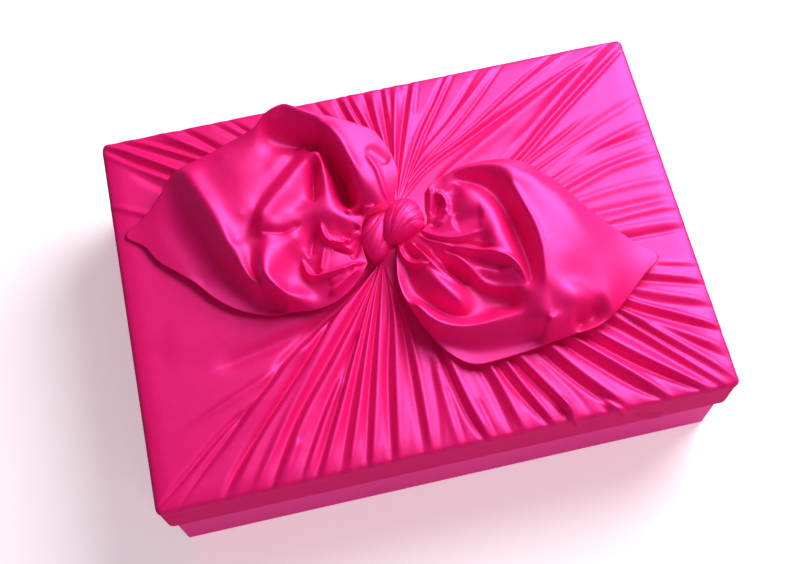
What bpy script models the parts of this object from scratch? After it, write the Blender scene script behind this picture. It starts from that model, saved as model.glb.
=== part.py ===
"""A furoshiki wrap on a gift box.

One cloth is drawn over the lid of a shallow rectangular box. It is pleated from
every side towards a knot near the middle, and its two free corners spread from
the knot as a pair of ears. The box is a plain base tray and a lid, both covered
in paper, and the lid lifts off with its cloth.

+X runs along the long side, +Y to the back and +Z up. The origin is at the
middle of the base's underside. Lengths are metres; the tables give millimetres.
"""

import math
from collections import namedtuple

import bmesh
import bpy
from mathutils import Matrix, Vector

MM = 0.001

# Driving sizes
WIDTH = 0.400  # along X, over the cloth
DEPTH = 0.284  # along Y, over the cloth
TOP = 0.099  # height of the cloth's troughs on the lid
SKIRT = 0.039  # how far the cloth comes down the lid's sides
CLOTH = 0.0010  # thickness of the cloth where it is drawn tight
EAR_CLOTH = 0.0012  # thickness of the loose corners
BOARD = 0.0012  # thickness of the lid's and the base's board
GAP = 0.0003  # between pieces that touch
SLACK_TOP = 0.0014  # the cloth stands off the lid's flat top by this
RUNNING = 0.0004  # clearance of the lid on its base
CORNER = 0.0048  # radius of the lid's upright edges, over the cloth
CHAMFER = 0.0009  # on the board's edges
RIM_ROUND = 0.0022  # radius of the cloth's bend over the lid's rim
HEM_IN = CLOTH + GAP + BOARD + GAP + CLOTH  # the cloth turns in under the lip by this
HEM_UP = 0.0100  # and runs up inside the lid by this
MERGE = 0.00001  # points this close are one point

# The knot's place, the ring where the pleats dive under it, and where the ears start
KNOT = Vector((-0.0070, 0.0160))
PLEAT_START = 0.0120
PLEATS_FULL = 0.0320  # from here outwards the pleats stand as steep as they can
EAR_START = 0.0120
EAR_START_LIFT = 0.0135
KNOT_RISE = 0.0085  # the pleats are drawn up this far into the knot
KNOT_RISE_SPREAD = 0.0130
TENT = 0.0030  # the cloth slopes up this far from the rim towards the knot
STEEPEST = 1.1  # rise of a pleat over half its width, at most
RIM_FROM = 0.55  # share of the way out from which a pleat turns to its height at the rim
EAR_CLEARANCE = 0.0024  # top of an ear above the pleats it lies on

# Pleats, in turn round the lid: where the trough and the crest meet the rim, along
# that side, then the crest's height halfway out and at the rim.
Pleat = namedtuple("Pleat", "trough crest middle rim")
FRONT_PLEATS = (
    Pleat(-193, -188, 1.2, 1.0),
    Pleat(-182, -173, 1.6, 1.4),
    Pleat(-166, -160, 1.4, 1.2),
    Pleat(-154, -145, 2.4, 1.8),
    Pleat(-139, -134, 1.8, 1.2),
    Pleat(-127, -115, 2.4, 1.6),
    Pleat(-107, -101, 2.2, 1.4),
    Pleat(-91, -82, 3.2, 2.0),
    Pleat(-75, -67, 3.4, 2.0),
    Pleat(-57, -49, 3.6, 2.0),
    Pleat(-42, -30, 3.6, 2.0),
    Pleat(-18, -10, 3.4, 2.0),
    Pleat(-4, 6, 3.0, 1.6),
    Pleat(20, 25, 2.6, 1.6),
    Pleat(30, 34, 2.2, 1.4),
    Pleat(39, 47, 3.2, 1.8),
    Pleat(57, 67, 3.0, 1.8),
    Pleat(75, 82, 3.0, 2.8),
    Pleat(89, 96, 2.4, 1.6),
    Pleat(105, 119, 3.0, 3.0),
    Pleat(132, 148, 2.6, 1.6),
    Pleat(163, 176, 2.2, 1.4),
    Pleat(186, 192, 1.4, 1.0),
)
RIGHT_PLEATS = (
    Pleat(-133, -122, 1.4, 1.0),
    Pleat(-112, -101, 1.8, 1.2),
    Pleat(-88, -77, 1.8, 1.2),
    Pleat(-62, -50, 1.8, 1.2),
    Pleat(-37, -28, 1.6, 1.0),
    Pleat(-19, -8, 1.8, 1.2),
    Pleat(4, 20, 1.6, 1.0),
    Pleat(32, 44, 1.6, 1.0),
    Pleat(58, 70, 1.6, 1.0),
    Pleat(80, 89, 1.6, 1.2),
    Pleat(98, 108, 1.8, 1.2),
    Pleat(120, 130, 1.6, 1.2),
)
BACK_PLEATS = (
    Pleat(193, 188, 2.0, 1.4),
    Pleat(181, 170, 2.6, 1.6),
    Pleat(160, 150, 2.4, 2.0),
    Pleat(140, 124, 2.6, 1.6),
    Pleat(115, 109, 2.2, 1.4),
    Pleat(102, 90, 2.6, 1.6),
    Pleat(80, 73, 2.2, 1.4),
    Pleat(67, 62, 1.8, 1.2),
    Pleat(56, 47, 2.8, 1.6),
    Pleat(40, 34, 2.4, 1.4),
    Pleat(28, 22, 2.4, 1.4),
    Pleat(17, 12, 2.2, 1.4),
    Pleat(7, 2, 2.2, 1.4),
    Pleat(-4, -11, 2.2, 1.4),
    Pleat(-19, -28, 2.4, 1.4),
    Pleat(-38, -47, 2.4, 1.4),
    Pleat(-57, -67, 2.4, 1.6),
    Pleat(-79, -91, 2.6, 1.8),
    Pleat(-104, -115, 2.6, 2.0),
    Pleat(-127, -138, 2.8, 2.0),
    Pleat(-149, -160, 2.6, 2.0),
    Pleat(-170, -178, 2.2, 1.8),
    Pleat(-186, -191, 1.6, 1.2),
)
LEFT_PLEATS = (
    Pleat(134, 124, 1.4, 1.0),
    Pleat(108, 88, 1.3, 0.8),
    Pleat(64, 40, 1.1, 0.5),
    Pleat(15, -8, 1.1, 0.5),
    Pleat(-30, -52, 1.4, 0.5),
    Pleat(-70, -88, 1.6, 0.6),
    Pleat(-104, -122, 1.4, 0.8),
)

# Rings of the wrap from the knot outwards, over the rim, down the side and in
# under the lip: how far out on the top, then inset and drop past the rim in
# metres, and the share of a pleat's height that is left there.
Ring = namedtuple("Ring", "out inset drop share")
RINGS = (
    Ring(0.00, RIM_ROUND, 0.0, 0.0),
    Ring(0.07, RIM_ROUND, 0.0, 1.0),
    Ring(0.20, RIM_ROUND, 0.0, 1.0),
    Ring(0.42, RIM_ROUND, 0.0, 1.0),
    Ring(0.70, RIM_ROUND, 0.0, 1.0),
    Ring(1.00, RIM_ROUND, 0.0, 1.0),
    Ring(1.00, RIM_ROUND * 0.3, RIM_ROUND * 0.3, 0.8),
    Ring(1.00, 0.0, RIM_ROUND, 0.4),
    Ring(1.00, 0.0, 0.0120, 0.0),
    Ring(1.00, 0.0, SKIRT, 0.0),
    Ring(1.00, HEM_IN, SKIRT, 0.0),
    Ring(1.00, HEM_IN, SKIRT - HEM_UP, 0.0),
)

# Ears: one row for each ray that leaves the knot, by its bearing, anticlockwise
# from +X. Along a ray the cloth dips into the hollow by the knot, rises to the
# inner fold, drops into the valley, rises to the rolled rim, and slopes over the
# flat of the corner to the hem. Each has its distance from the knot and its height.
Ray = namedtuple(
    "Ray",
    "bearing hollow hollow_up fold fold_up valley valley_up rim rim_up flat flat_up hem hem_up",
)
RIGHT_EAR = (
    Ray(56, 17, 17, 20, 18, 23, 18, 26, 18, 29, 16, 32, 14),
    Ray(42, 22, 20, 29, 25, 36, 26, 43, 30, 49, 24, 54, 16),
    Ray(31, 26, 21, 40, 31, 50, 23, 58, 40, 67, 28, 74, 15),
    Ray(21, 29, 21, 48, 32, 68, 17, 76, 43, 85, 30, 91, 17),
    Ray(12, 32, 20, 55, 33, 76, 12, 83, 44, 100, 34, 109, 28),
    Ray(4, 34, 20, 60, 34, 81, 10, 88, 44, 106, 28, 123, 17),
    Ray(-6, 36, 20, 66, 34, 86, 10, 94, 44, 117, 24, 141, 9),
    Ray(-17, 38, 20, 72, 34, 91, 11, 100, 42, 140, 19, 189, 3),
    Ray(-26, 40, 20, 80, 33, 97, 12, 107, 39, 138, 17, 173, 4),
    Ray(-36, 42, 19, 94, 29, 104, 17, 114, 34, 136, 15, 161, 5),
    Ray(-46, 44, 19, 84, 27, 99, 13, 122, 22, 131, 11, 142, 5),
    Ray(-58, 40, 18, 60, 26, 84, 12, 101, 25, 112, 12, 123, 5),
    Ray(-70, 30, 18, 42, 24, 69, 13, 90, 24, 102, 14, 112, 7),
    Ray(-82, 22, 18, 29, 21, 50, 15, 71, 20, 81, 17, 89, 12),
    Ray(-94, 17, 15, 22, 16, 28, 16, 34, 16, 39, 16, 44, 15),
)
LEFT_EAR = (
    Ray(62, 18, 24, 21, 25, 24, 26, 27, 25, 30, 19, 33, 12),
    Ray(80, 24, 29, 35, 33, 46, 35, 57, 35, 66, 24, 72, 13),
    Ray(98, 26, 29, 40, 33, 57, 36, 71, 38, 81, 27, 88, 14),
    Ray(108, 26, 22, 42, 24, 63, 31, 82, 40, 92, 31, 98, 18),
    Ray(117, 28, 16, 48, 17, 68, 18, 95, 36, 106, 41, 111, 36),
    Ray(125, 46, 12, 77, 31, 92, 19, 112, 33, 120, 37, 125, 36),
    Ray(137, 46, 12, 80, 34, 104, 16, 122, 23, 132, 25, 140, 25),
    Ray(150, 44, 13, 84, 35, 112, 16, 150, 23, 158, 20, 164, 17),
    Ray(158, 44, 15, 88, 34, 110, 17, 132, 28, 160, 10, 175, 9),
    Ray(166, 46, 17, 91, 34, 105, 19, 119, 30, 150, 8, 191, 4),
    Ray(174, 46, 18, 92, 31, 103, 21, 112, 29, 138, 8, 168, 6),
    Ray(183, 48, 16, 94, 28, 103, 22, 109, 27, 126, 8, 146, 8),
    Ray(193, 46, 15, 90, 23, 97, 20, 102, 23, 112, 9, 124, 8),
    Ray(203, 44, 13, 78, 17, 86, 16, 92, 16, 95, 10, 97, 7),
    Ray(212, 38, 14, 56, 19, 64, 18, 69, 16, 73, 12, 76, 8),
    Ray(222, 26, 14, 34, 16, 42, 16, 48, 15, 54, 13, 59, 10),
    Ray(233, 17, 14, 20, 14, 23, 14, 26, 13, 29, 13, 32, 12),
)

# Creases of an ear: a line that starts near the knot, bends through a middle point
# and ends, in plan, then how far it lifts the cloth (or sinks it) and how wide it is.
Crease = namedtuple("Crease", "x0 y0 x1 y1 x2 y2 lift width")
RIGHT_CREASES = (
    Crease(15, 0, 27, -4, 58, -2, 3.5, 5),
    Crease(12, -4, 37, -11, 73, -40, 3.5, 5),
    Crease(15, -7, 41, -33, 70, -52, 3.5, 5),
    Crease(22, 9, 35, 22, 25, 33, 4.0, 5),
)
LEFT_CREASES = (
    Crease(-30, 26, -47, 20, -56, 34, 3.5, 5),
    Crease(-30, -1, -62, -5, -74, 12, 3.5, 5),
    Crease(-32, 25, -62, 38, -97, 38, 3.0, 6),
    Crease(-52, 44, -50, 66, -47, 89, -3.0, 6),
)
CREASE_STEPS = 10  # points along a crease that its distance is measured from
RAY_STEPS = 2  # columns of the ear's grid for each ray
# Where along a ray the grid has its points: 0 at the knot, then 1 to 6 at the
# hollow, the fold, the valley, the rim, the flat and the hem.
EAR_STATIONS = (0, 1, 1.6, 2, 2.5, 3, 3.4, 3.7, 4, 4.4, 5, 5.5, 6)

# The knot: a core, the bun that crosses over it, and the band that wraps round it.
Lump = namedtuple("Lump", "x y up half_x half_y half_up turn tilt")
LUMP_COLUMNS = 16
LUMP_ROWS = 9
KNOT_CORE = Lump(-6, 17, 12, 19, 18, 9, 0, 0)
KNOT_BUN = Lump(5, 19, 19, 15, 20, 12.5, -30, 8)
Bead = namedtuple("Bead", "x y up radius")
KNOT_BAND = (
    Bead(-13, 1, 10, 5.0),
    Bead(-21, 6, 14, 7.5),
    Bead(-24, 16, 18, 9.0),
    Bead(-20, 27, 20, 9.0),
    Bead(-9, 32, 21, 8.0),
    Bead(2, 31, 19, 6.0),
)

# Finishes: base colour, roughness
PINK_SATIN = ("furoshiki satin", (0.80, 0.01, 0.18, 1.0), 0.42)
PINK_PAPER = ("covered board", (0.52, 0.015, 0.20, 1.0), 0.55)


def clear_objects():
    for thing in list(bpy.data.objects):
        bpy.data.objects.remove(thing)


def new_collection(name):
    group = bpy.data.collections.new(name)
    bpy.context.scene.collection.children.link(group)
    return group


def new_finish(finish):
    name, colour, roughness = finish
    material = bpy.data.materials.get(name) or bpy.data.materials.new(name)
    material.use_nodes = True
    shader = material.node_tree.nodes["Principled BSDF"]
    shader.inputs["Base Color"].default_value = colour
    shader.inputs["Roughness"].default_value = roughness
    return material


def new_object(name, shape, group, finish):
    """Turns a bmesh into a named object with its own finish."""
    mesh = bpy.data.meshes.new(name)
    shape.to_mesh(mesh)
    shape.free()
    thing = bpy.data.objects.new(name, mesh)
    mesh.materials.append(new_finish(finish))
    group.objects.link(thing)
    return thing


def smooth_between(values, place):
    """The value at a fractional place in a list, on a smooth curve through every entry."""
    last = len(values) - 1
    i = min(int(place), last - 1)
    t = place - i
    here, there = values[i], values[i + 1]
    leave = (there - values[max(i - 1, 0)]) / 2
    arrive = (values[min(i + 2, last)] - here) / 2
    return (
        here * (1 + 2 * t) * (1 - t) ** 2
        + leave * t * (1 - t) ** 2
        + there * t * t * (3 - 2 * t)
        - arrive * t * t * (1 - t)
    )


# The turn that bearings are counted from, just before the first pleat at the front
FIRST_TURN = math.atan2(-DEPTH / 2 - KNOT.y, (FRONT_PLEATS[0].trough - 0.5) * MM - KNOT.x)


def bearing_from_knot(x, y):
    """Anticlockwise from the first pleat at the front, so it only rises round the lid."""
    turn = math.atan2(y - KNOT.y, x - KNOT.x)
    return (turn - FIRST_TURN) % (2 * math.pi)


# The lid's outline: feet are the points where pleats cross the rim
Foot = namedtuple("Foot", "x y out_x out_y bearing")


def foot_on_side(side, at):
    x, y, out = {
        "front": (at * MM, -DEPTH / 2, (0, -1)),
        "right": (WIDTH / 2, at * MM, (1, 0)),
        "back": (at * MM, DEPTH / 2, (0, 1)),
        "left": (-WIDTH / 2, at * MM, (-1, 0)),
    }[side]
    return Foot(x, y, out[0], out[1], bearing_from_knot(x, y))


def feet_round_corner(side):
    """Three feet round the upright edge that follows a side."""
    feet = []
    for turn in (side.turn, side.turn + 45, side.turn + 90):
        out_x = math.cos(math.radians(turn))
        out_y = math.sin(math.radians(turn))
        x = side.corner_x * (WIDTH / 2 - CORNER) + CORNER * out_x
        y = side.corner_y * (DEPTH / 2 - CORNER) + CORNER * out_y
        feet.append(Foot(x, y, out_x, out_y, bearing_from_knot(x, y)))
    return feet


# Each side with its pleats, then the upright edge that follows it: on which side of
# the middle it lies, and the turn that its arc starts at
Side = namedtuple("Side", "name pleats corner_x corner_y turn")
SIDES = (
    Side("front", FRONT_PLEATS, 1, -1, -90),
    Side("right", RIGHT_PLEATS, 1, 1, 0),
    Side("back", BACK_PLEATS, -1, 1, 90),
    Side("left", LEFT_PLEATS, -1, -1, 180),
)
# Where a pleat has its trough or its crest, and its height there
Mark = namedtuple("Mark", "bearing crest middle rim")


def pleat_marks():
    """Every trough and crest in turn round the lid. The cloth lies flat at the corners."""
    marks = []
    for side in SIDES:
        for pleat in side.pleats:
            marks.append(Mark(foot_on_side(side.name, pleat.trough).bearing, False, 0.0, 0.0))
            crest = foot_on_side(side.name, pleat.crest).bearing
            marks.append(Mark(crest, True, pleat.middle * MM, pleat.rim * MM))
        for foot in feet_round_corner(side):
            marks.append(Mark(foot.bearing, False, 0.0, 0.0))
    return sorted(marks)


MARKS = pleat_marks()


def pleat_height(bearing, out, radius):
    """Height of the pleats at a bearing, out from 0 at the knot to 1 at the rim."""
    turn = 2 * math.pi
    after = next((i for i, mark in enumerate(MARKS) if mark.bearing > bearing), 0)
    low, high = MARKS[after - 1], MARKS[after]
    part = ((bearing - low.bearing) % turn) / ((high.bearing - low.bearing) % turn)
    crest = high if high.crest else low
    part = part if high.crest else 1 - part
    near_rim = max(0.0, (out - RIM_FROM) / (1 - RIM_FROM))
    height = crest.middle + (crest.rim - crest.middle) * near_rim
    half_pleat = turn * radius / len(MARKS)
    height = min(height, STEEPEST * half_pleat * min(1.0, radius / PLEATS_FULL))
    return height * math.sin(part * math.pi / 2)


def drawn_up(radius, out):
    """How far the knot lifts the cloth, whatever the pleats do."""
    near = max(radius - PLEAT_START, 0.0) / KNOT_RISE_SPREAD
    return KNOT_RISE * math.exp(-near * near) + TENT * (1 - out) ** 2


def rim_distance(x, y):
    """Distance from the knot to the rim on the ray through a point."""
    dx, dy = x - KNOT.x, y - KNOT.y
    length = math.hypot(dx, dy)
    reach_x = (math.copysign(WIDTH / 2, dx) - KNOT.x) / dx if dx else math.inf
    reach_y = (math.copysign(DEPTH / 2, dy) - KNOT.y) / dy if dy else math.inf
    return length * min(reach_x, reach_y)


def wrap_height(x, y):
    """Height of the pleated cloth above the lid's flat top."""
    radius = math.hypot(x - KNOT.x, y - KNOT.y)
    out = min(max((radius - PLEAT_START) / (rim_distance(x, y) - PLEAT_START), 0.0), 1.0)
    return drawn_up(radius, out) + pleat_height(bearing_from_knot(x, y), out, radius)


def wrap_point(foot, even, ring):
    """A point of the wrap, on the line from the knot to a foot and then down the side."""
    rim = Vector((foot.x - foot.out_x * ring.inset, foot.y - foot.out_y * ring.inset))
    way = (rim - KNOT).normalized()
    way.rotate(Matrix.Rotation(even - foot.bearing, 2))
    start = KNOT + way * PLEAT_START
    place = start.lerp(rim, ring.out)
    radius = (place - KNOT).length
    pleat = ring.share * pleat_height(foot.bearing, ring.out, radius)
    if ring.drop >= RIM_ROUND:
        place = place + Vector((foot.out_x, foot.out_y)) * pleat
        pleat = 0.0
    return Vector((place.x, place.y, TOP + drawn_up(radius, ring.out) + pleat - ring.drop))


def grid_sheet(columns, rows, place):
    """A grid of points, each put where place(column, row) says, its faces towards +Z."""
    sheet = bmesh.new()
    bmesh.ops.create_grid(sheet, x_segments=columns - 1, y_segments=rows - 1, size=0.5)
    for corner in sheet.verts:
        column = round((corner.co.x + 0.5) * (columns - 1))
        row = round((corner.co.y + 0.5) * (rows - 1))
        corner.co = place(column, row)
    bmesh.ops.remove_doubles(sheet, verts=sheet.verts, dist=MERGE)
    sheet.normal_update()
    sheet.faces.ensure_lookup_table()
    if sum(face.normal.z * face.calc_area() for face in sheet.faces) < 0:
        bmesh.ops.reverse_faces(sheet, faces=sheet.faces)
    return sheet


def thicken(thing, thickness, even=True):
    wall = thing.modifiers.new("thickness", "SOLIDIFY")
    wall.thickness = thickness
    wall.offset = -1
    wall.use_even_offset = even


def make_wrap(group):
    """The cloth over the lid, pleated towards the knot and turned in under the lip."""
    feet = []
    for side in SIDES:
        for pleat in side.pleats:
            feet.append(foot_on_side(side.name, pleat.trough))
            feet.append(foot_on_side(side.name, pleat.crest))
        feet.extend(feet_round_corner(side))
    step = 2 * math.pi / len(feet)
    evens = [feet[0].bearing + i * step for i in range(len(feet))]
    shift = sum(foot.bearing - even for foot, even in zip(feet, evens)) / len(feet)
    columns = [(foot, even + shift) for foot, even in zip(feet, evens)]
    columns.append(columns[0])
    shape = grid_sheet(len(columns), len(RINGS), lambda i, j: wrap_point(*columns[i], RINGS[j]))
    wrap = new_object("furoshiki", shape, group, PINK_SATIN)
    thicken(wrap, CLOTH)
    return wrap


def ray_points(ray):
    """The points that the cloth passes through along one ray, from the knot to the hem."""
    turn = math.radians(ray.bearing)
    way = Vector((math.cos(turn), math.sin(turn)))
    stations = [
        (EAR_START, EAR_START_LIFT),
        (ray.hollow * MM, ray.hollow_up * MM),
        (ray.fold * MM, ray.fold_up * MM),
        (ray.valley * MM, ray.valley_up * MM),
        (ray.rim * MM, ray.rim_up * MM),
        (ray.flat * MM, ray.flat_up * MM),
        (ray.hem * MM, ray.hem_up * MM),
    ]
    return [Vector((*(KNOT + way * radius), up)) for radius, up in stations]


def crease_lift(creases, x, y):
    """How far the creases lift the cloth at a point, each a soft ridge along a bent line."""
    lift = 0.0
    for crease in creases:
        start = Vector((crease.x0, crease.y0)) * MM
        middle = Vector((crease.x1, crease.y1)) * MM
        end = Vector((crease.x2, crease.y2)) * MM
        bend = middle * 2 - (start + end) / 2
        nearest = math.inf
        for step in range(CREASE_STEPS + 1):
            t = step / CREASE_STEPS
            place = start * (1 - t) ** 2 + bend * 2 * t * (1 - t) + end * t * t
            nearest = min(nearest, math.hypot(place.x - x, place.y - y))
        lift += crease.lift * MM * math.exp(-((nearest / (crease.width * MM)) ** 2))
    return lift


def ear_point(rays, creases, across, along):
    """A point of an ear, across its rays and along them."""
    lines = []
    for station in range(len(rays[0])):
        points = [ray[station] for ray in rays]
        if station == len(rays[0]) - 1:
            i = min(int(across), len(points) - 2)
            lines.append(points[i].lerp(points[i + 1], across - i))
        else:
            lines.append(smooth_between(points, across))
    point = smooth_between(lines, along)
    height = point.z + crease_lift(creases, point.x, point.y)
    lowest = wrap_height(point.x, point.y) + EAR_CLEARANCE
    return Vector((point.x, point.y, TOP + max(height, lowest)))


def make_ear(name, table, creases, group):
    """A free corner of the cloth, spread from the knot."""
    rays = [ray_points(ray) for ray in table]
    columns = (len(rays) - 1) * RAY_STEPS + 1
    shape = grid_sheet(
        columns,
        len(EAR_STATIONS),
        lambda i, j: ear_point(rays, creases, i / RAY_STEPS, EAR_STATIONS[j]),
    )
    ear = new_object(name, shape, group, PINK_SATIN)
    thicken(ear, EAR_CLOTH, even=False)
    return ear


def make_lump(name, lump, group):
    """A rounded lump of the knot."""
    shape = bmesh.new()
    bmesh.ops.create_uvsphere(shape, u_segments=LUMP_COLUMNS, v_segments=LUMP_ROWS, radius=1)
    ball = new_object(name, shape, group, PINK_SATIN)
    ball.scale = (lump.half_x * MM, lump.half_y * MM, lump.half_up * MM)
    ball.rotation_euler = (0, math.radians(lump.tilt), math.radians(lump.turn))
    ball.location = (lump.x * MM, lump.y * MM, TOP + lump.up * MM)
    return ball


def make_band(group):
    """The band that wraps round the knot's left side, a tube made a mesh so that it can be joined."""
    curve = bpy.data.curves.new("knot band", "CURVE")
    curve.dimensions = "3D"
    curve.bevel_depth = 1.0
    curve.bevel_resolution = 2
    curve.resolution_u = 2
    curve.use_fill_caps = True
    line = curve.splines.new("NURBS")
    line.points.add(len(KNOT_BAND) - 1)
    line.use_endpoint_u = True
    line.order_u = 3
    for point, bead in zip(line.points, KNOT_BAND):
        point.co = (bead.x * MM, bead.y * MM, TOP + bead.up * MM, 1)
        point.radius = bead.radius * MM
    tube = bpy.data.objects.new("knot band tube", curve)
    group.objects.link(tube)
    solid = bpy.data.meshes.new_from_object(tube.evaluated_get(bpy.context.evaluated_depsgraph_get()))
    shape = bmesh.new()
    shape.from_mesh(solid)
    bmesh.ops.remove_doubles(shape, verts=shape.verts, dist=MERGE)
    bmesh.ops.recalc_face_normals(shape, faces=shape.faces)
    bpy.data.objects.remove(tube)
    return new_object("knot band", shape, group, PINK_SATIN)


def join(body, other):
    """Joins a solid to a body, and keeps it as a hidden helper."""
    union = body.modifiers.new("join " + other.name, "BOOLEAN")
    union.operation = "UNION"
    union.solver = "EXACT"
    union.object = other
    other.hide_render = True
    other.display_type = "WIRE"


def make_furoshiki(group, helpers):
    """One cloth: the wrap, the knot and the two ears joined into one solid."""
    wrap = make_wrap(group)
    pieces = [
        make_lump("knot core", KNOT_CORE, helpers),
        make_lump("knot bun", KNOT_BUN, helpers),
        make_band(helpers),
        make_ear("ear right", RIGHT_EAR, RIGHT_CREASES, helpers),
        make_ear("ear left", LEFT_EAR, LEFT_CREASES, helpers),
    ]
    for piece in pieces:
        join(wrap, piece)
    return wrap


def soften(shape, edges, offset, segments):
    bmesh.ops.bevel(
        shape,
        geom=edges,
        offset=offset,
        segments=segments,
        profile=0.5,
        affect="EDGES",
        material=-1,
    )


# A tray of board: its size, between which heights it lies, the radius of its upright
# edges and the faces round each, and whether its top (1) or its underside (-1) is open
Tray = namedtuple("Tray", "name width depth low high corner corner_faces open_side")


def make_tray(tray, group):
    """A shallow open box of board."""
    shape = bmesh.new()
    bmesh.ops.create_cube(shape, size=1)
    bmesh.ops.scale(shape, verts=shape.verts, vec=(tray.width, tray.depth, tray.high - tray.low))
    bmesh.ops.translate(shape, verts=shape.verts, vec=(0, 0, (tray.low + tray.high) / 2))
    shape.normal_update()
    mouth = [face for face in shape.faces if round(face.normal.z) == tray.open_side]
    bmesh.ops.delete(shape, geom=mouth, context="FACES")
    uprights = [edge for edge in shape.edges if edge.verts[0].co.xy == edge.verts[1].co.xy]
    soften(shape, uprights, tray.corner, tray.corner_faces)
    shape.normal_update()
    end = next(face for face in shape.faces if round(face.normal.z) == -tray.open_side)
    soften(shape, list(end.edges), CHAMFER, 1)
    board = new_object(tray.name, shape, group, PINK_PAPER)
    thicken(board, BOARD)
    return board


def make_box(group):
    """The base tray, and the lid that fits over it under the cloth."""
    lid_inset = CLOTH + GAP
    lid_width = WIDTH - 2 * lid_inset
    lid_depth = DEPTH - 2 * lid_inset
    lid_low = TOP - SKIRT + CLOTH + GAP
    lid_high = TOP - CLOTH - SLACK_TOP
    lid_corner = CORNER - lid_inset
    make_tray(Tray("lid", lid_width, lid_depth, lid_low, lid_high, lid_corner, 2, -1), group)
    base_inset = HEM_IN + RUNNING
    base_width = WIDTH - 2 * base_inset
    base_depth = DEPTH - 2 * base_inset
    base_high = lid_high - BOARD - GAP
    make_tray(Tray("base", base_width, base_depth, 0.0, base_high, CHAMFER, 1, 1), group)


def main():
    clear_objects()
    group = new_collection("furoshiki wrap on a gift box")
    helpers = new_collection("helpers")
    make_box(group)
    make_furoshiki(group, helpers)


main()
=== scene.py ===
"""Looks of a furoshiki wrap on a gift box.

The cloth is three sheets and a knot: the wrap that is stretched over the lid and
pleated towards the knot, the two free corners that spread from it as ears, and
the knot's bun and band. The tables give folds and creases in millimetres, their
places from the lid's centre and their heights from its top. Everything else is
in metres, in the frame's own axes.
"""

import math
from collections import namedtuple

import bmesh
import bpy
import numpy as np
from mathutils import Matrix, Vector


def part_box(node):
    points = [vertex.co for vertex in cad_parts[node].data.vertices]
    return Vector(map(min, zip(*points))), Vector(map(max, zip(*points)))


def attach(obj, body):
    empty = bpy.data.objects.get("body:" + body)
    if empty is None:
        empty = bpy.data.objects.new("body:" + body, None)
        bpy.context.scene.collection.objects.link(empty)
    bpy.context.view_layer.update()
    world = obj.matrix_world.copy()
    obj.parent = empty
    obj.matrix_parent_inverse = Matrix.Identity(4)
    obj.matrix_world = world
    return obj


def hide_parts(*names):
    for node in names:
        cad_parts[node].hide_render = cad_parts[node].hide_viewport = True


MM = 0.001
TURN = 2 * math.pi

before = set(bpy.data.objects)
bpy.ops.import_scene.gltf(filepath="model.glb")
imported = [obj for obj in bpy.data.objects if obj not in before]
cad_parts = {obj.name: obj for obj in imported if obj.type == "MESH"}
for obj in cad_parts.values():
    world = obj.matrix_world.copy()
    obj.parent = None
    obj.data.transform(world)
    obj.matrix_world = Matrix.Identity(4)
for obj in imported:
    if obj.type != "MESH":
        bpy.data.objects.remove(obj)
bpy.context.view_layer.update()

# ---------------------------------------------------------------- sizes from the frame

LID_LOW, LID_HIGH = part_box("lid")
OVER_BOARD = 0.0013  # the cloth's outer face stands this far off the lid's board
SLACK_TOP = 0.0024  # and this far off its flat top, in the troughs of the pleats
WIDTH = LID_HIGH.x - LID_LOW.x + 2 * OVER_BOARD
DEPTH = LID_HIGH.y - LID_LOW.y + 2 * OVER_BOARD
TOP = LID_HIGH.z + SLACK_TOP
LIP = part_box("furoshiki")[0].z  # where the cloth turns in under the lid
SKIRT = TOP - LIP
CORNER = 0.0048  # radius of the lid's upright edges, over the cloth
RIM_ROUND = 0.0022  # radius of the bend over the lid's rim
HEM_ROUND = 0.0008  # radius of the bend at the lip
HEM_IN = 0.0035  # the cloth turns in under the lip by this
HEM_UP = 0.0090  # and runs up inside the lid by this
KNOT = np.array([-0.0070, 0.0160])
EAR_CLOTH = 0.0008  # thickness of an ear

# Sides of the lid in turn: the sense of the corner each ends at, and where it starts turning
Side = namedtuple("Side", "corner_x corner_y turn")
SIDES = (Side(1, -1, -90), Side(1, 1, 0), Side(-1, 1, 90), Side(-1, -1, 180))

# ---------------------------------------------------------------- folds of the wrap

# A crease is a ridge along a line, or a trough where its lift is negative: its lift, how
# far its flanks reach to the left and the right of its run, and points on the line.
Crease = namedtuple("Crease", "lift left right points")

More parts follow.
